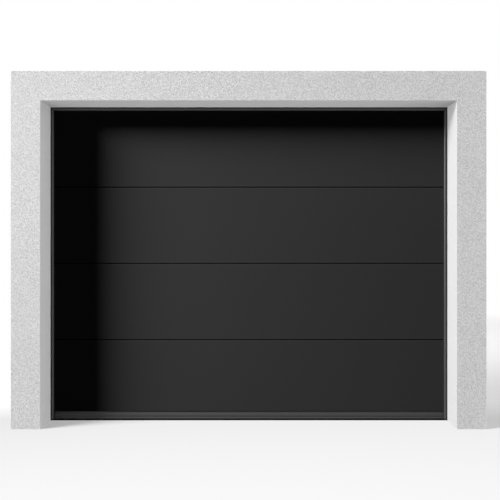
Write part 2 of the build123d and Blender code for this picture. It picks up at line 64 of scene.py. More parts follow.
# Places on the door, in metres
wallFront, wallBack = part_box("pier_right")[0].y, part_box("pier_right")[1].y
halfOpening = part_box("pier_right")[0].x
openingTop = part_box("lintel")[0].z
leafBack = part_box("section_2")[1].y
seams = [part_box(f"section_{number}")[0].z for number in (2, 3, 4)]
shaftLow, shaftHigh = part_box("torsion_shaft")
shaftY, shaftZ = (shaftLow.y + shaftHigh.y) / 2, (shaftLow.z + shaftHigh.z) / 2
shaftPoint, axisX = np.array([0, shaftY, shaftZ]), np.array([1.0, 0, 0])
rollerY, rollerBottom = 0.044, 0.092            # line of the rollers, and height of the lowest
bendY, bendZ, bendRadius = 0.344, 1.890, 0.300  # centre of the bend, and radius of the rollers' line in it
topRollerZ = 2.058
trackWeb, frameSide = 1.4115, 1.416             # faces under the heads and the nuts of the track bolts


class Link:                                     # a socket: + - * / and abs() on it add Math nodes
    def __init__(self, maker, socket):
        self.maker, self.socket = maker, socket

    def math(self, operation, *values):
        return self.maker.add("ShaderNodeMath", {"operation": operation}, dict(enumerate((self, *values))))

    def after(self, operation, value):          # the same, with this socket as the second value
        return self.maker.add("ShaderNodeMath", {"operation": operation}, {0: value, 1: self})

    def __add__(self, value): return self.math("ADD", value)
    def __radd__(self, value): return self.after("ADD", value)
    def __sub__(self, value): return self.math("SUBTRACT", value)
    def __rsub__(self, value): return self.after("SUBTRACT", value)
    def __mul__(self, value): return self.math("MULTIPLY", value)
    def __rmul__(self, value): return self.after("MULTIPLY", value)
    def __truediv__(self, value): return self.math("DIVIDE", value)
    def __rtruediv__(self, value): return self.after("DIVIDE", value)
    def __abs__(self): return self.math("ABSOLUTE")
    def below(self, value): return self.math("LESS_THAN", value)
    def above(self, value): return self.math("GREATER_THAN", value)
    def other(self, name): return Link(self.maker, self.socket.node.outputs[name])


class Maker:                                    # adds the nodes of one material
    def __init__(self, tree):
        self.tree = tree
        tree.nodes.clear()

    def add(self, kind, settings=None, sockets=None, result=0):
        made = self.tree.nodes.new(kind)
        for name, value in (settings or {}).items():
            if name == "stops":
                self.setStops(made.color_ramp, value)
            else:
                setattr(made, name, value)
        for name, value in (sockets or {}).items():
            if isinstance(value, Link):
                self.tree.links.new(value.socket, made.inputs[name])
            else:
                made.inputs[name].default_value = value
        return Link(self, made.outputs[result]) if made.outputs else None

    def setStops(self, ramp, stops):            # places and greys, in rising order
        for place, _ in stops[2:]:
            ramp.elements.new(place)
        for element, (place, shade) in zip(ramp.elements, stops):
            element.position = place
            element.color = (shade, shade, shade, 1)

    def place(self): return self.add("ShaderNodeTexCoord", None, None, "Object")

    def split(self, place):                     # into x, y and z
        x = self.add("ShaderNodeSeparateXYZ", None, {0: place})
        return x, x.other("Y"), x.other("Z")

    def scaled(self, place, scale):             # by a factor along each axis
        return self.add("ShaderNodeMapping", None, {"Vector": place, "Scale": scale})

    def noise(self, place, scale, detail, roughness=0.5, distortion=0.0):
        sockets = {"Vector": place, "Scale": scale, "Detail": detail, "Roughness": roughness}
        return self.add("ShaderNodeTexNoise", None, {**sockets, "Distortion": distortion})

    def cellColours(self, place, scale):        # cells in random colours, each one flat
        return self.add("ShaderNodeTexVoronoi", {"feature": "F1"}, {"Vector": place, "Scale": scale}, "Color")

    def ramp(self, value, *stops): return self.add("ShaderNodeValToRGB", {"stops": stops}, {0: value})

    def mix(self, factor, first, second):       # between two colours
        return self.add("ShaderNodeMix", {"data_type": "RGBA"}, {0: factor, 6: first, 7: second}, 2)

    def bump(self, height, distance):           # a height of 1 stands up by the distance, in metres
        return self.add("ShaderNodeBump", None, {"Height": height, "Distance": distance, "Strength": 1.0})


def grey(value, warmth=0.0):                    # a colour; warmth lifts red and lowers blue
    return (value * (1 + warmth), value, value * (1 - warmth), 1)


def shades(value, contrast):                    # a darker and a lighter grey round a value
    return grey(value * (1 - contrast * 0.5)), grey(value * (1 + contrast * 0.5))


def surface(name, build, **fixed):              # fixed: sockets with one value all over
    material = bpy.data.materials.new(name)
    material.use_nodes = True
    maker = Maker(material.node_tree)
    sockets = build(maker, maker.place())
    sockets.update({key.replace("_", " "): value for key, value in fixed.items()})
    shader = maker.add("ShaderNodeBsdfPrincipled", None, sockets)
    maker.add("ShaderNodeOutputMaterial", None, {"Surface": shader})
    return material


# Roughcast: grains of a few millimetres in short worms on the face, rubbed smoother in the reveals.
# Painted shade and highlight: the grain less the same grain a little higher up darkens one side of each grain and
# lightens the other, and random patches add tone.
plaster = {
    "face": 0.485, "contrast": 0.47, "reveal": 0.55, "revealContrast": 0.2, "rubbedDown": 0.6, "margin": 0.0005,
    "grainScale": 195, "slant": 48, "stretch": 0.5, "shadeShift": 0.0019, "reliefShade": 1.8, "reliefShadeLevel": 0.46,
    "gritScale": 380, "grit": 0.12, "patchScale": 1.3, "patches": 0.08, "depth": 0.0022,
}


def roughcastNodes(maker, place):
    x, y, z = maker.split(place)
    inReveal = abs(x).below(halfOpening + plaster["margin"]) * z.below(openingTop + plaster["margin"])
    c, s = math.cos(math.radians(plaster["slant"])), math.sin(math.radians(plaster["slant"]))
    along, across = (x * c - z * s) * plaster["stretch"], x * s + z * c

    def grainAt(shift):                         # noise drawn out along the slant
        slanted = maker.add("ShaderNodeCombineXYZ", None, {0: along, 1: y + shift, 2: across + shift})
        return maker.noise(slanted, plaster["grainScale"], 0.0)

    grain, higher = grainAt(0.0), grainAt(plaster["shadeShift"])
    patches = maker.noise(place, plaster["patchScale"], 3, 0.6)
    # painted shade and highlight on opposite sides of each grain, with random patches of tone
    reliefShade = (grain - higher) * plaster["reliefShade"] + plaster["reliefShadeLevel"] + patches * plaster["patches"]
    # the face is painted darker than the reveals, though the same plaster, as painted shade among its rougher grains
    face = maker.mix(reliefShade, *shades(plaster["face"], plaster["contrast"]))
    reveal = maker.mix(reliefShade, *shades(plaster["reveal"], plaster["revealContrast"]))
    grit = maker.noise(place, plaster["gritScale"], 2.0, 0.55, 0.3)
    relief = (grain + grit * plaster["grit"]) * (1 - inReveal * plaster["rubbedDown"])
    return {
        "Base Color": maker.mix(inReveal, face, reveal),
        "Roughness": 0.95 - patches * 0.1,
        "Normal": maker.bump(relief, plaster["depth"]),
    }


# Leaf: dead-matt coating with a very fine grain. Inside, a pale coating on stucco-embossed sheet,
# whose edges roll in where two panels meet. Outside, painted shade darkens the lips of a seam, and a
# painted highlight lightens the coating beside them.
leafCoat = {
    "outside": 0.046, "contrast": 0.14, "inside": 0.52, "warmth": 0.012, "backSkin": 0.0025,
    "grainScale": 900, "grain": 0.12, "cloudScale": 1.7, "stuccoScale": 150, "depth": 0.0005,
    "edge": 0.0035, "roll": 3, "gap": 0.0008, "gapShade": 0.02,
    "lip": 0.02, "lipStops": (0.22, 0.30, 0.62), "grooveShade": 0.42, "lipHighlight": 1.0, "plain": 0.8,
}


def leafNodes(maker, place):
    _, y, z = maker.split(place)
    inside = y.above(leafBack - leafCoat["backSkin"])
    away = [abs(z - seam) for seam in seams]
    nearest = away[0].math("MINIMUM", away[1]).math("MINIMUM", away[2])
    rolled = maker.ramp(nearest / leafCoat["edge"], (0, 1), (0.35, 0.5), (1, 0)) * inside
    gap = nearest.below(leafCoat["gap"]) * inside
    grain = maker.noise(place, leafCoat["grainScale"], 2, 0.6)
    clouds = maker.noise(place, leafCoat["cloudScale"], 4, 0.6)
    stucco = maker.ramp(maker.noise(place, leafCoat["stuccoScale"], 1.5, 0.5, 0.8), (0.42, 0), (0.58, 1))
    tone = grain * 0.35 + clouds * 0.65
    out = maker.mix(tone, *shades(leafCoat["outside"], leafCoat["contrast"]))
    # painted shade in the seam's groove, and a painted highlight on the coating beside it
    stops = zip(leafCoat["lipStops"], (leafCoat["grooveShade"], leafCoat["lipHighlight"], leafCoat["plain"]))
    seamShadeAndHighlight = maker.ramp(nearest / leafCoat["lip"], *stops) / leafCoat["plain"]
    out = maker.add("ShaderNodeVectorMath", {"operation": "SCALE"}, {0: out, "Scale": seamShadeAndHighlight})
    dark, light = (grey(leafCoat["inside"] * part, leafCoat["warmth"]) for part in (0.96, 1.03))
    within = maker.mix(tone, dark, light)
    height = grain * leafCoat["grain"] * (1 - inside) + stucco * inside - rolled * leafCoat["roll"]
    return {
        "Base Color": maker.mix(gap, maker.mix(inside, out, within), grey(leafCoat["gapShade"])),
        "Roughness": 0.72 - inside * 0.25 + grain * 0.1,
        "Normal": maker.bump(height, leafCoat["depth"]),
    }


# Coated metal of the frame, and of the bottom rail, which is drawn lengthwise in the press
coated = {"drawn": (2, 400, 400), "even": (60, 60, 60), "grainScale": 700, "contrast": 0.24, "depth": 0.0001}


def coatedNodes(value, lengthwise):
    def build(maker, place):
        lines = maker.noise(maker.scaled(place, coated["drawn" if lengthwise else "even"]), 1.0, 3, 0.6)
        grain = maker.noise(place, coated["grainScale"], 2, 0.6)
        return {
            "Base Color": maker.mix(lines * 0.6 + grain * 0.4, *shades(value, coated["contrast"])),
            "Roughness": 0.42 + grain * 0.2,
            "Normal": maker.bump(lines * 0.5 + grain * 0.5, coated["depth"]),
        }
    return build


# Rubber: bloom in soft patches and a faint grain
rubber = {"bloomScale": 9, "dark": 0.8, "bloomed": 1.25, "grainScale": 500, "rough": 0.36, "depth": 0.00015}


def rubberNodes(value):
    def build(maker, place):
        bloom = maker.noise(place, rubber["bloomScale"], 4, 0.65)
        grain = maker.noise(place, rubber["grainScale"], 3, 0.6)
        return {
            "Base Color": maker.mix(bloom, grey(value * rubber["dark"]), grey(value * rubber["bloomed"])),
            "Roughness": rubber["rough"] + bloom * 0.15,
            "Normal": maker.bump(grain, rubber["depth"]),
        }
    return build


# Zinc: crystals some millimetres across, each with its own brightness, dulled in clouds
zinc = {
    "dark": (0.21, 0.22, 0.23, 1), "light": (0.37, 0.38, 0.39, 1), "crystalScale": 110, "fineScale": 350,
    "cloudScale": 6, "metallic": 0.75, "rough": 0.46, "depth": 0.00008,
}


def zincNodes(maker, place):
    cells = maker.cellColours(place, zinc["crystalScale"])
    crystal = maker.add("ShaderNodeSeparateColor", None, {0: cells})
    fine = maker.noise(place, zinc["fineScale"], 3, 0.6)
    clouds = maker.noise(place, zinc["cloudScale"], 3, 0.6)
    tone = crystal * 0.45 + fine * 0.2 + clouds * 0.35
    return {
        "Base Color": maker.mix(tone, zinc["dark"], zinc["light"]),
        "Metallic": zinc["metallic"] + crystal * 0.1,
        "Roughness": zinc["rough"] + clouds * 0.16 + crystal * 0.08,
        "Normal": maker.bump(fine * 0.5 + crystal * 0.5, zinc["depth"]),
    }


# Turned or drawn metal: fine rings round the X axis and light handling marks
lathe = {"rings": (900, 12, 12), "markScale": 40, "depth": 0.00005}


def turnedNodes(dark, light, low, high):        # two shades, and the least and most roughness
    def build(maker, place):
        rings = maker.noise(maker.scaled(place, lathe["rings"]), 1.0, 2, 0.6)
        marks = maker.noise(place, lathe["markScale"], 4, 0.7)
        return {
            "Base Color": maker.mix(marks, grey(dark), grey(light)),
            "Roughness": low + (high - low) * (rings * 0.5 + marks * 0.5),
            "Normal": maker.bump(rings, lathe["depth"]),
        }
    return build


# Cast aluminium: pitted skin
castSkin = {
    "dark": (0.33, 0.335, 0.34, 1), "light": (0.46, 0.465, 0.465, 1), "pitScale": 420, "cloudScale": 25,
    "rough": 0.42, "depth": 0.0003,
}


def castNodes(maker, place):
    pits = maker.noise(place, castSkin["pitScale"], 4, 0.7)
    clouds = maker.noise(place, castSkin["cloudScale"], 3, 0.6)
    return {
        "Base Color": maker.mix(clouds, castSkin["dark"], castSkin["light"]),
        "Roughness": castSkin["rough"] + pits * 0.25,
        "Normal": maker.bump(pits, castSkin["depth"]),
    }


# Nylon: nearly even white with a moulded grain
nylon = {
    "dark": (0.68, 0.675, 0.64, 1), "light": (0.78, 0.775, 0.75, 1), "grainScale": 300, "cloudScale": 18,
    "rough": 0.4, "depth": 0.0001,
}


def nylonNodes(maker, place):
    grain = maker.noise(place, nylon["grainScale"], 3, 0.6)
    clouds = maker.noise(place, nylon["cloudScale"], 3, 0.5)
    return {
        "Base Color": maker.mix(clouds, nylon["dark"], nylon["light"]),
        "Roughness": nylon["rough"] + grain * 0.15,
        "Normal": maker.bump(grain, nylon["depth"]),
    }


finishes = {
    "roughcast": surface("roughcastFinish", roughcastNodes, Specular_IOR_Level=0.15),
    "leaf_coating": surface("leafFinish", leafNodes, Specular_IOR_Level=0.0),
    "frame_coating": surface("frameFinish", coatedNodes(0.014, False), Specular_IOR_Level=0.1),
    "rail_coating": surface("railFinish", coatedNodes(0.028, True), Specular_IOR_Level=0.62),
    "strip_rubber": surface("stripFinish", rubberNodes(0.018), Specular_IOR_Level=1.0),
    "floor_seal_rubber": surface("sealFinish", rubberNodes(0.011), Specular_IOR_Level=0.0),
    "galvanised_steel": surface("zincFinish", zincNodes),
    "bright_steel": surface("steelFinish", turnedNodes(0.32, 0.45, 0.26, 0.44), Metallic=1.0),
    "cast_aluminium": surface("castFinish", castNodes, Metallic=1.0),
    "roller_nylon": surface("nylonFinish", nylonNodes),
    "spring_steel": surface("springFinish", turnedNodes(0.12, 0.22, 0.32, 0.5), Metallic=0.9),
}
slotOf = {part["node"]: part["material_slot"] for part in frame["record"]["subparts"]}
for name, cadNode in nodes.items():
    cadNode.data.materials.clear()
    cadNode.data.materials.append(finishes[slotOf[name]])
print("finishes made:", len(finishes))


# Faces of a grid of points, row by row. Columns close on themselves, and rows too if closed.
def gridFaces(rows, columns, first, closed):
    row = np.arange(rows if closed else rows - 1)[:, None]
    column = np.arange(columns)[None, :]
    below, beside = (row + 1) % rows, (column + 1) % columns
    corners = [row * columns + column, row * columns + beside, below * columns + beside, below * columns + column]
    return first + np.stack(np.broadcast_arrays(*corners), axis=-1).reshape(-1, 4)


# One mesh from all the grids of points, in metres, with doubles merged and faces turned outwards
joined = {"doubles": 0.000002, "sharpAbove": 38}


def addPiece(name, grids, slotName, replaced=()):
    points, faces, first = [], [], 0
    for grid, closed in grids:
        rows, columns = grid.shape[:2]
        points.append(grid.reshape(-1, 3))
        faces.append(gridFaces(rows, columns, first, closed))
        first += rows * columns
    mesh = bpy.data.meshes.new(name)
    mesh.from_pydata(np.concatenate(points).tolist(), [], np.concatenate(faces).tolist())
    shape = bmesh.new()
    shape.from_mesh(mesh)
    bmesh.ops.remove_doubles(shape, verts=shape.verts, dist=joined["doubles"])  # closes poles
    bmesh.ops.recalc_face_normals(shape, faces=shape.faces)
    shape.to_mesh(mesh)
    shape.free()
    mesh.polygons.foreach_set("use_smooth", np.ones(len(mesh.polygons), bool))
    mesh.set_sharp_from_angle(angle=math.radians(joined["sharpAbove"]))
    mesh.materials.append(finishes[slotName])
    made = bpy.data.objects.new(name, mesh)
    scene.collection.objects.link(made)
    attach(made, "root")
    if replaced:
        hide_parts(*replaced)
    print(name, len(mesh.polygons), "faces")


def bothSides(grids):                           # the same on the left, with x turned round
    return grids + [(grid * np.array([-1, 1, 1]), closed) for grid, closed in grids]


# A profile of (along, radius) turned round a line: origin + along * axis + radius * (cos a * side + sin a * up)
def turned(profile, origin, axis, sides, closed=False, start=0.0):
    profile, axis = np.array(profile, float), np.array(axis, float)
    side = np.array([0, 0, 1.0]) if abs(axis[2]) < 0.9 else np.array([1.0, 0, 0])
    up = np.cross(axis, side)
    angle = start + np.arange(sides) * (2 * math.pi / sides)
    ring = np.cos(angle)[:, None] * side + np.sin(angle)[:, None] * up
    grid = np.array(origin) + profile[:, 0, None, None] * axis + profile[:, 1, None, None] * ring
    return grid, closed


# A closed profile carried along a path: path + u * normal + v * binormal. Each end is drawn in to a point.
def carried(profile, path, normal):
    along = np.gradient(path, axis=0)
    along /= np.linalg.norm(along, axis=1, keepdims=True)
    normal = normal - along * np.sum(normal * along, axis=1, keepdims=True)
    normal /= np.linalg.norm(normal, axis=1, keepdims=True)
    binormal = np.cross(along, normal)
    grid = path[:, None] + profile[..., 0, None] * normal[:, None] + profile[..., 1, None] * binormal[:, None]
    ends = np.broadcast_to(path[[0, -1], None], (2, grid.shape[1], 3))
    return np.concatenate([ends[:1], grid, ends[1:]]), False


# Bolts, screws and nuts: a washer with a six-sided head on it, each a turned profile, and each head
# turned further than the last
bolt = {"head": 0.0075, "headHeight": 0.0052, "washer": 0.0105, "washerHeight": 0.0014}
screw = {"head": 0.0046, "headHeight": 0.0042, "washer": 0.0072, "washerHeight": 0.0012}
chamfer, furtherRound = 0.0009, 0.7


def hexHeads(places, axis, size):
    washer, flat = size["washer"], size["washerHeight"]
    head, top = size["head"], flat + size["headHeight"]
    rim = [(0, 0), (0, washer), (flat * 0.7, washer), (flat, washer * 0.93), (flat, 0)]
    hexagon = [(flat, 0), (flat, head), (top - chamfer, head), (top, head * 0.86), (top, 0)]
    grids = []
    for number, place in enumerate(places):
        grids.append(turned(rim, place, axis, 14))
        grids.append(turned(hexagon, place, axis, 6, False, number * furtherRound))
    return grids


# Screws of the inner hinges, of the end hinges, and of the bottom and top brackets
hinge = {"x": 0.450, "plate": 0.0025, "across": 0.019, "rows": (-0.042, -0.022, 0.022, 0.042)}
endHinge = {"x": 1.3295, "plate": 0.004, "across": 0.009, "rows": (-0.042, 0.042), "single": 0.42}
bracket = {"across": 0.012, "rows": (-0.034, 0.034)}
hingeFace, endFace = leafBack + hinge["plate"], leafBack + endHinge["plate"]
hingeScrews = []
for seam in seams:
    for row in hinge["rows"]:
        for aside in (-hinge["across"], hinge["across"]):
            hingeScrews.append((hinge["x"] + aside, hingeFace, seam + row))
    for row in endHinge["rows"]:
        hingeScrews.append((endHinge["x"] - endHinge["across"], endFace, seam + row))
        hingeScrews.append((endHinge["x"] + endHinge["across"], endFace, seam + row))
        hingeScrews.append((endHinge["x"], endFace, seam + row * endHinge["single"]))
for row in bracket["rows"]:
    for aside in (-bracket["across"], bracket["across"]):
        hingeScrews.append((endHinge["x"] + aside, endFace, rollerBottom + row))
        hingeScrews.append((endHinge["x"] + aside, endFace, topRollerZ + row))
addPiece("hingeScrews", bothSides(hexHeads(hingeScrews, (0, 1, 0), screw)), "bright_steel")

# Hinge knuckles: three rings with rolled ends on a headed pin. Roller sleeves: such a ring for each rod.
knuckle = {
    "off": 0.007, "radius": 0.0072, "bore": 0.0050, "roll": 0.0007, "half": 0.032, "joint": 0.0105, "play": 0.0004,
    "pin": 0.0031, "pinEnd": 0.0362, "pinTip": 0.0008,
}
sleeve = {"radius": 0.0092, "bore": 0.0057, "roll": 0.0008, "start": 1.3004, "end": 1.3586}
topRollerY = bendY - math.sqrt(bendRadius**2 - (topRollerZ - bendZ) ** 2)
rollers = [(rollerY, rollerBottom)] + [(rollerY, seam) for seam in seams] + [(topRollerY, topRollerZ)]


def ringProfile(low, high, size):               # from low to high along the axis, with its corners cut by the roll
    outer, inner, roll = size["radius"], size["bore"], size["roll"]
    return [(low, inner), (low, outer - roll), (low + roll, outer), (high - roll, outer), (high, outer - roll),
            (high, inner)]


half, joint, play = knuckle["half"], knuckle["joint"], knuckle["play"]
pin, end, tip = knuckle["pin"], knuckle["pinEnd"], knuckle["pinTip"]
headed = [(-end, 0), (-end, pin * 0.8), (-end + tip, pin), (end - tip, pin), (end, pin * 0.8), (end, 0)]
knuckles = []
for seam in seams:
    middle = (hinge["x"], leafBack + knuckle["off"], seam)
    for low, high in ((-half, -joint - play), (-joint, joint), (joint + play, half)):
        knuckles.append(turned(ringProfile(low, high, knuckle), middle, axisX, 32, True))
    knuckles.append(turned(headed, middle, axisX, 20))
addPiece("hingeKnuckles", bothSides(knuckles), "galvanised_steel")
tube = ringProfile(sleeve["start"], sleeve["end"], sleeve)
tubes = [turned(tube, (0, y, z), axisX, 32, True) for y, z in rollers]
addPiece("rollerSleeves", bothSides(tubes), "galvanised_steel")

# Track bolts: domed heads inside the track, on its upright, its bend and its level part, and nuts outside
trackFixing = {
    "upright": (0.24, 0.74, 1.24, 1.72), "bend": (12, 35, 58, 80), "level": (0.375, 0.62, 1.10, 1.60, 2.10, 2.56),
    "levelZ": 2.190, "angleFrom": 0.41, "angleOff": 0.0005,
}
trackBolts = [(rollerY, z) for z in trackFixing["upright"]]
for degrees in trackFixing["bend"]:
    turn = math.radians(degrees)
    trackBolts.append((bendY - bendRadius * math.cos(turn), bendZ + bendRadius * math.sin(turn)))
trackBolts += [(y, trackFixing["levelZ"]) for y in trackFixing["level"]]
domed = [(0, 0), (0, 0.0085), (0.0012, 0.0080), (0.0023, 0.0056), (0.0029, 0.0026), (0.003, 0)]
heads = [turned(domed, (trackWeb, y, z), -axisX, 16) for y, z in trackBolts]
addPiece("trackBolts", bothSides(heads), "bright_steel")
nuts = []
for y, z in trackBolts:                         # the stiffening angle stands out a little further
    nuts.append((frameSide + (trackFixing["angleOff"] if y > trackFixing["angleFrom"] else 0), y, z))
addPiece("trackNuts", bothSides(hexHeads(nuts, axisX, bolt)), "bright_steel")

# Screws into the wall: frame sides, frame head, and the plates of the end bearings and of the centre one
wallFixing = {
    "sideX": 1.384, "sides": (0.12, 0.62, 1.12, 1.62, 2.12), "headZ": 2.165, "head": (0.12, 0.52, 0.92, 1.30),
    "endPlates": (1.3785, 1.3995), "centrePlate": 0.0105, "plateRows": (2.222, 2.288),
    "frameSheet": 0.0025, "plate": 0.004,
}
frameFace, bearingFace = wallBack + wallFixing["frameSheet"], wallBack + wallFixing["plate"]
wallScrews = [(wallFixing["sideX"], frameFace, z) for z in wallFixing["sides"]]
wallScrews += [(x, frameFace, wallFixing["headZ"]) for x in wallFixing["head"]]
wallScrews += [(x, bearingFace, z) for x in wallFixing["endPlates"] for z in wallFixing["plateRows"]]
wallScrews += [(wallFixing["centrePlate"], bearingFace, z) for z in wallFixing["plateRows"]]
addPiece("wallScrews", bothSides(hexHeads(wallScrews, (0, 1, 0), screw)), "bright_steel")

# Bolts of the ceiling hangers and of the rear rail
hanger = {"x": 1.4195, "places": (0.704, 2.530), "rows": (2.205, 2.230)}
rearRail = {"x": 1.388, "y": 2.652, "rows": (2.178, 2.202)}
hangerBolts = [(hanger["x"], y, z) for y in hanger["places"] for z in hanger["rows"]]
railBolts = [(rearRail["x"], rearRail["y"], z) for z in rearRail["rows"]]
held = hexHeads(hangerBolts, axisX, screw) + hexHeads(railBolts, (0, 1, 0), screw)
addPiece("hangerBolts", bothSides(held), "bright_steel")

# Springs: a round wire carried along a helix, x = start + pitch * turns, y and z round the shaft.
# middle is the radius of the wire's centre line.
spring = {"start": 0.050, "end": 0.670, "middle": 0.025, "wire": 0.0029, "turns": 98, "steps": 26, "sides": 8}


def springWire():
    count = spring["turns"] * spring["steps"]
    turn = np.linspace(0, 1, count)
    angle = turn * spring["turns"] * 2 * math.pi
    along = spring["start"] + spring["wire"] + turn * (spring["end"] - spring["start"] - 2 * spring["wire"])
    out = np.stack([np.zeros(count), np.cos(angle), np.sin(angle)], axis=1)
    path = shaftPoint + spring["middle"] * out
    path[:, 0] = along
    around = np.arange(spring["sides"]) * 2 * math.pi / spring["sides"]
    circle = spring["wire"] * np.stack([np.cos(around), np.sin(around)], axis=1)
    return carried(np.broadcast_to(circle, (count, *circle.shape)), path, out)


addPiece("springCoils", bothSides([springWire()]), "spring_steel", ["springs"])

# Cones: a neck inside the coil, a flange against its end, and the body that is clamped or bolted.
# Two square-headed screws clamp the winding cone.
cone = {"bore": 0.013, "neck": 0.0217, "flange": 0.032, "body": 0.0245, "length": 0.038}
coneScrew = {"x": 0.697, "degrees": (40, 150), "half": 0.0052}


def coneProfile():                              # measured from the end of the coil, outwards
    body, flange, neck, bore, length = (cone[key] for key in ("body", "flange", "neck", "bore", "length"))
    return [
        (-0.024, bore), (-0.024, neck - 0.002), (-0.022, neck), (0, neck), (0, flange - 0.001), (0.001, flange),
        (0.006, flange), (0.009, flange - 0.002), (0.013, body + 0.001), (0.016, body), (length - 0.002, body),
        (length, body - 0.002), (length, bore),
    ]


windingCone = turned(coneProfile(), shaftPoint + spring["end"] * axisX, axisX, 40, True)
fixedCone = turned(coneProfile(), shaftPoint + spring["start"] * axisX, -axisX, 40, True)
addPiece("coneBodies", bothSides([windingCone, fixedCone]), "cast_aluminium", ["spring_cones"])
wide = coneScrew["half"]
square = [(-0.002, 0), (-0.002, wide), (0.0075, wide), (0.0085, 0.0045), (0.0085, 0)]
coneScrews = []
for degrees in coneScrew["degrees"]:
    out = np.array([0, math.cos(math.radians(degrees)), math.sin(math.radians(degrees))])
    start = shaftPoint + coneScrew["x"] * axisX + cone["body"] * out
    coneScrews.append(turned(square, start, out, 4))
addPiece("coneScrews", bothSides(coneScrews), "bright_steel")

# Drums: cast, with a hub, a recessed web, a rim, and a seat with grooves for the cable's turns.
# Radius of the seat = seat - groove * cos(2 pi * (x - the cable's x) / pitch).
cable = {
    "x": 1.371, "radius": 0.0015, "drum": 0.0497, "pitch": 0.0044, "turns": 2.6, "stud": 0.118, "eye": 0.0067,
    "beside": 0.0006, "strands": 6, "lay": 0.021, "ferrule": 0.0085,
}
drum = {
    "inner": 1.339, "outer": 1.383, "rim": 0.056, "hub": 0.024, "bore": 0.013, "recess": 0.007, "web": 0.042,
    "seat": 0.0486, "groove": 0.0006, "seatFrom": 1.3513, "seatTo": 1.3757,
}


def drumProfile():
    inner, outer, rim, hub, bore = (drum[key] for key in ("inner", "outer", "rim", "hub", "bore"))
    seat, recess, web = drum["seat"], drum["recess"], drum["web"]
    along = np.linspace(drum["seatFrom"], drum["seatTo"], 60)
    grooved = seat - drum["groove"] * np.cos((along - cable["x"]) / cable["pitch"] * 2 * math.pi)
    left = [(inner, bore), (inner, hub - 0.001), (inner + 0.001, hub), (inner + recess, hub + 0.001)]
    left += [(inner + recess, web), (inner + 0.001, web + 0.002), (inner, web + 0.003), (inner, rim - 0.0006)]
    left += [(inner + 0.0006, rim), (inner + 0.0028, rim), (inner + 0.0065, seat)]
    right = [(outer - 0.0065, seat), (outer - 0.0028, rim), (outer - 0.0006, rim), (outer, rim - 0.0006)]
    right += [(outer, web + 0.003), (outer - 0.001, web + 0.002), (outer - recess, web)]
    right += [(outer - recess, hub + 0.001)]
    right += [(outer - 0.001, hub), (outer, hub - 0.001), (outer, bore)]
    return left + list(zip(along, grooved)) + right


drumBody = turned(drumProfile(), shaftPoint, axisX, 64, True)
addPiece("drumBodies", bothSides([drumBody]), "cast_aluminium", ["cable_drums"])


# Cables: six strands twisted round a core, carried from the eye on the stud up to the drum and round it.
# Radius of the profile = cable radius * (0.86 + 0.14 * |cos 3(a + twist)|), with one twist for each lay.
def cablePath():
    low = np.linspace(0, 2 * math.pi, 40)[:-1]
    y, top = shaftY - cable["drum"], cable["stud"] + cable["eye"]
    aside = cable["beside"] * (low / math.pi - 1)       # the eye's two ends pass beside each other
    eye = np.stack([cable["x"] + aside, y + cable["eye"] * np.sin(low), cable["stud"] + cable["eye"] * np.cos(low)],
                   axis=1)
    rise = np.linspace(top + 0.003, shaftZ - 0.002, 640)
    run = np.stack([np.full_like(rise, cable["x"]), np.full_like(rise, y), rise], axis=1)
    angle = np.linspace(0, cable["turns"] * 2 * math.pi, 230)
    wrap = np.stack([cable["x"] - cable["pitch"] * angle / (2 * math.pi), shaftY - cable["drum"] * np.cos(angle),
                     shaftZ + cable["drum"] * np.sin(angle)], axis=1)
    return np.concatenate([eye, run, wrap])


def cableRope():
    path = cablePath()
    steps = np.linalg.norm(np.diff(path, axis=0), axis=1)
    length = np.concatenate([[0], np.cumsum(steps)])
    around = np.arange(12) * math.pi / 6
    twist = length[:, None] / cable["lay"] * 2 * math.pi
    lobe = np.abs(np.cos(cable["strands"] / 2 * (around[None, :] + twist)))
    radius = cable["radius"] * (0.86 + 0.14 * lobe)
    profile = np.stack([radius * np.cos(around), radius * np.sin(around)], axis=2)
    return carried(profile, path, np.broadcast_to(axisX, path.shape) + 0.001)   # never quite along the rope


pressed = [(0, 0), (0, 0.0029), (0.0012, 0.0035), (0.0165, 0.0035), (0.018, 0.0028), (0.018, 0)]
foot = (cable["x"], shaftY - cable["drum"], cable["stud"] + cable["ferrule"])
ferrule = turned(pressed, foot, (0, 0, 1), 18)
addPiece("liftCables", bothSides([cableRope(), ferrule]), "bright_steel", ["lift_cables"])

# Rollers: nylon tyre with a rounded crown on a steel bearing sleeve, on a rod with a collar.
# The tyre's and the sleeve's profiles start at the wheel's inner face, the rod's at the middle of the door.
wheel = {"inner": 1.3835, "sides": 48}
tyre = [
    (0.0012, 0.0094), (0.0012, 0.0112), (0.0030, 0.0120), (0.0030, 0.0175), (0.0012, 0.0185), (0.0004, 0.0200),
    (0.0008, 0.0217), (0.0020, 0.0226), (0.0040, 0.0230), (0.0140, 0.0230), (0.0160, 0.0226), (0.0172, 0.0217),
    (0.0176, 0.0200), (0.0168, 0.0185), (0.0150, 0.0175), (0.0150, 0.0120), (0.0168, 0.0112), (0.0168, 0.0094),
]
bearingSleeve = [(0.0004, 0.0056), (0.0004, 0.0094), (0.0176, 0.0094), (0.0176, 0.0056)]
rod = [
    (1.3005, 0), (1.3005, 0.0047), (1.3013, 0.0055), (1.3803, 0.0055), (1.3808, 0.0085), (1.3832, 0.0085),
    (1.3836, 0.0055), (1.4024, 0.0055), (1.4035, 0.0046), (1.4035, 0),
]
tyres, sleeves, rods = [], [], []
for y, z in rollers:
    tyres.append(turned(tyre, (wheel["inner"], y, z), axisX, wheel["sides"], True))
    sleeves.append(turned(bearingSleeve, (wheel["inner"], y, z), axisX, 32, True))
    rods.append(turned(rod, (0, y, z), axisX, 24))
addPiece("rollerTyres", bothSides(tyres), "roller_nylon", ["roller_wheels"])
addPiece("rollerRods", bothSides(rods + sleeves), "bright_steel", ["roller_stems"])
print("pieces made")

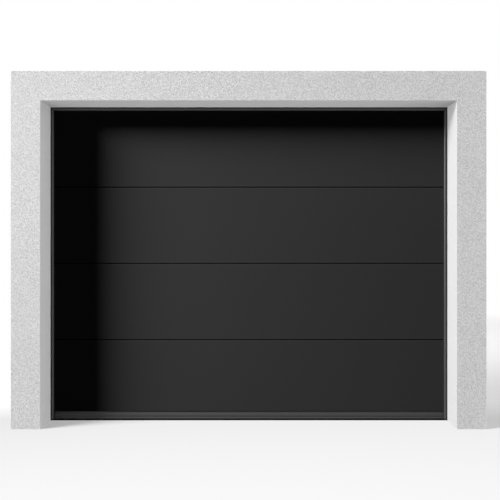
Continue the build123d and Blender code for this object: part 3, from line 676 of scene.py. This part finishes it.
# Floor: grey near the door, with painted light brighter to the right and behind it, which evens the key's falloff
# and lightens the wall's shadow, and white far off. It throws back little light.
floorSet = {
    "half": 40, "shade": 0.375, "bounce": 0.025, "slope": 0.12, "back": 0.2, "lift": 0.2, "patchScale": 0.8,
    "centre": -0.3, "shadowRoom": 0.9, "span": 10, "rightOut": (0.32, 0.60), "allRound": (0.5, 0.9),
}


def seenRays(maker):                            # 1 on rays from the camera, in mirrors and through glass
    path = maker.add("ShaderNodeLightPath", None, None, "Is Camera Ray")
    return path.math("MAXIMUM", path.other("Is Glossy Ray")).math("MAXIMUM", path.other("Is Transmission Ray"))


def addFloor():
    mesh = bpy.data.meshes.new("floor")
    half = floorSet["half"]
    mesh.from_pydata([(-half, -half, 0), (half, -half, 0), (half, half, 0), (-half, half, 0)], [], [(0, 1, 2, 3)])
    material = bpy.data.materials.new("floorFinish")
    material.use_nodes = True
    maker = Maker(material.node_tree)
    place = maker.place()
    x, y, _ = maker.split(place)
    fromCentre = y - floorSet["centre"]
    distance = (x * x + fromCentre * fromCentre).math("SQRT")
    low, high = floorSet["rightOut"]            # further out on the right, where the shadow lies
    far = maker.ramp((distance - x * floorSet["shadowRoom"]) / floorSet["span"], (low, 0), (high, 1))
    low, high = floorSet["allRound"]
    far = far.math("MAXIMUM", maker.ramp(distance / floorSet["span"], (low, 0), (high, 1)))
    patches = maker.noise(place, floorSet["patchScale"], 3, 0.5)
    even = maker.mix(patches, grey(floorSet["shade"] * 0.995), grey(floorSet["shade"]))
    aside = x.math("MAXIMUM", -2.5).math("MINIMUM", 4.0)        # both held within limits, to keep the painted light down
    behind = y.math("MAXIMUM", 0.0).math("MINIMUM", 5.0)
    # painted light: brighter to the right against the key's falloff, and behind the wall where its shadow falls
    level = 1 + floorSet["slope"] * (aside + 1.5) + floorSet["back"] * behind
    level = level + floorSet["lift"] * (behind * 2).math("MINIMUM", 1.0)
    near = maker.add("ShaderNodeVectorMath", {"operation": "SCALE"}, {0: even, "Scale": level})
    seen = seenRays(maker)
    colour = maker.mix(seen, grey(floorSet["bounce"]), near)
    lit = maker.add("ShaderNodeBsdfDiffuse", None, {"Color": colour})
    white = maker.add("ShaderNodeEmission", None, {"Color": grey(1.0), "Strength": 1.0})
    shader = maker.add("ShaderNodeMixShader", None, {0: far * seen, 1: lit, 2: white})
    maker.add("ShaderNodeOutputMaterial", None, {"Surface": shader})
    mesh.materials.append(material)
    floor = bpy.data.objects.new("floor", mesh)
    scene.collection.objects.link(floor)
    floor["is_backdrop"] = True
    return floor


floor = addFloor()

# Air: white where it is seen, and a faint light on everything
air = {"seen": 1.0, "ambient": 0.02}
world = bpy.data.worlds.new("studio")
scene.world = world
world.use_nodes = True
maker = Maker(world.node_tree)
seen = seenRays(maker)
shown = maker.add("ShaderNodeBackground", None, {"Color": grey(1.0), "Strength": air["seen"]})
ambient = maker.add("ShaderNodeBackground", None, {"Color": grey(1.0), "Strength": air["ambient"]})
both = maker.add("ShaderNodeMixShader", None, {0: seen, 1: ambient, 2: shown})
maker.add("ShaderNodeOutputWorld", None, {"Surface": both})

# Lamps: strength is what a face turned to the lamp at the door gets, where 1 shows a colour as it is written.
# The key's three lamps share one place. It is an ellipse, which gives the shadow a soft edge.
masonryNames = ["pier_left", "pier_right", "lintel"]
keyPlace = {"towards": (-0.845, -0.362, 0.427), "distance": 10, "size": (4.0, 2.85), "shape": "ELLIPSE"}
lamps = {
    "key": {**keyPlace, "strength": 1.9, "lights": "front"},
    "keyWall": {**keyPlace, "strength": 1.115, "lights": "masonry"},
    "keyFittings": {**keyPlace, "strength": 0.8, "lights": "fittings"},
    "leftFill": {"towards": (-1.0, 0.0, 0.1), "distance": 30, "size": (3, 3), "strength": 0.5, "lights": "rightPier"},
    "frontFill": {"towards": (0.0, -1.0, 0.0), "distance": 30, "size": (9, 9), "strength": 0.1, "lights": "masonry"},
    "nearFill": {
        "towards": (-0.4, -1.0, 0.3), "distance": 3.5, "size": (1.6, 1.6), "strength": 0.295, "lights": "masonry",
    },
    "rightFill": {"towards": (1.0, -0.28, 0.0), "distance": 9, "size": (5, 5), "strength": 1.1, "lights": "masonry"},
    "lowFill": {"towards": (0.0, -0.35, -1.0), "distance": 9, "size": (9, 7), "strength": 0.98, "lights": "masonry"},
    "topFill": {"towards": (0.1, -0.25, 1.0), "distance": 9, "size": (9, 9), "strength": 0.42, "lights": "masonry"},
    "floorFill": {"towards": (-0.05, -0.4, 1.0), "distance": 12, "size": (6, 6), "strength": 1.5, "lights": "floor"},
    "backLeft": {"towards": (0.0, 1.0, 0.6), "distance": 9, "size": (6, 6), "strength": 1.0, "lights": "object"},
    "backRight": {"towards": (0.9, 1.0, 0.5), "distance": 9, "size": (6, 6), "strength": 0.6, "lights": "object"},
}


def litGroup(name, members):                    # what a lamp lights
    group = bpy.data.collections.new(name)
    for member in members:
        group.objects.link(member)
    return group


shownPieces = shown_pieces()
fittingSlots = ["galvanised_steel", "bright_steel", "cast_aluminium", "roller_nylon", "spring_steel"]
fittingFinishes = [finishes[slotName] for slotName in fittingSlots]
fittings = [piece for piece in shownPieces if piece.data.materials[0] in fittingFinishes]
masonry = [nodes[name] for name in masonryNames]
groups = {
    "masonry": litGroup("masonryLit", masonry),
    "rightPier": litGroup("rightPierLit", [nodes["pier_right"]]),
    "fittings": litGroup("fittingsLit", fittings),
    "front": litGroup("frontLit", [floor] + [piece for piece in shownPieces if piece not in masonry + fittings]),
    "floor": litGroup("floorLit", [floor]),
    "object": litGroup("objectLit", shownPieces),
}
for member in masonry:                          # the pale reveals throw nothing on the dark leaf
    member.visible_diffuse = False
target = np.array([0.0, wallFront, 1.15])
for name, lamp in lamps.items():
    towards = np.array(lamp["towards"]) / np.linalg.norm(lamp["towards"])
    light = bpy.data.lights.new(name, "AREA")
    light.shape = lamp.get("shape", "RECTANGLE")
    light.size, light.size_y = lamp["size"]
    light.energy = lamp["strength"] * math.pi**2 * lamp["distance"] ** 2
    holder = bpy.data.objects.new(name, light)
    across = np.cross((0, 0, 1), towards)
    across /= np.linalg.norm(across)
    up = np.cross(towards, across)
    stand = np.identity(4)                      # a lamp shines along its own -Z
    stand[:3, 0], stand[:3, 1], stand[:3, 2] = across, up, towards
    stand[:3, 3] = target + towards * lamp["distance"]
    holder.matrix_world = Matrix(stand.tolist())
    scene.collection.objects.link(holder)
    holder.light_linking.receiver_collection = groups[lamp["lights"]]
    if lamp["towards"][2] < 0:                  # a lamp below the floor shines through it
        holder.light_linking.blocker_collection = groups["object"]
    if lamp["lights"] in ("floor", "rightPier"):        # the door throws no shadow from this lamp
        holder.light_linking.blocker_collection = groups["floor"]

# Camera: level, straight on, at the photograph's height. wide is what it sees across at the wall's face.
view = {
    "x": 0.047, "height": 1.190, "distance": 4.760, "wide": 3.238, "shiftX": -0.0118, "shiftY": -0.009, "sensor": 36,
}
cameraData = bpy.data.cameras.new("camera")
cameraData.sensor_width = view["sensor"]
cameraData.lens = view["sensor"] * view["distance"] / view["wide"]
cameraData.shift_x, cameraData.shift_y = view["shiftX"], view["shiftY"]
cameraData.clip_end = 200
camera = bpy.data.objects.new("camera", cameraData)
camera.location = (view["x"], wallFront - view["distance"], view["height"])
camera.rotation_euler = (math.pi / 2, 0, 0)
scene.collection.objects.link(camera)
scene.camera = camera
print("stage, lamps and camera set")
